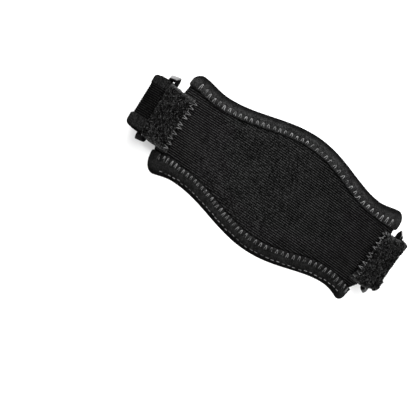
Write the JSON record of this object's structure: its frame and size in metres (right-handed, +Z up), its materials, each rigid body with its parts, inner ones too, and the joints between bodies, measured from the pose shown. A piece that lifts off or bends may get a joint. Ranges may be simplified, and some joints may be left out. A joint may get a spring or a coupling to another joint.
{
  "type": "tennis elbow strap",
  "caption": "Black elbow strap: an arched padded band with a ribbed face and bound wavy edges, closed into a loop by elastic webbing through a ring at each end.",
  "frame": {"origin": "under the middle of the loop, on the surface that the strap lies on", "axes": "+X along the pad towards its right end, +Y along the forearm that goes through, +Z up towards the pad"},
  "size_m": [0.2008, 0.0844, 0.0794],
  "materials": {
    "pad_foam": "matt jersey over foam",
    "ribbed_elastic": "ribbed knit elastic",
    "binding_tape": "fine woven tape with a slight sheen",
    "loop_pile": "short fuzzy loop pile",
    "strap_elastic": "ribbed elastic webbing",
    "ring_plastic": "glossy moulded black"
  },
  "bodies": {
    "root": {"pad": "pad_foam", "face_panel": "ribbed_elastic", "binding_upper": "binding_tape", "binding_lower": "binding_tape", "tab_left": "loop_pile", "tab_right": "loop_pile", "ring_left": "ring_plastic", "ring_right": "ring_plastic", "strap": "strap_elastic"}
  },
  "joints": []
}
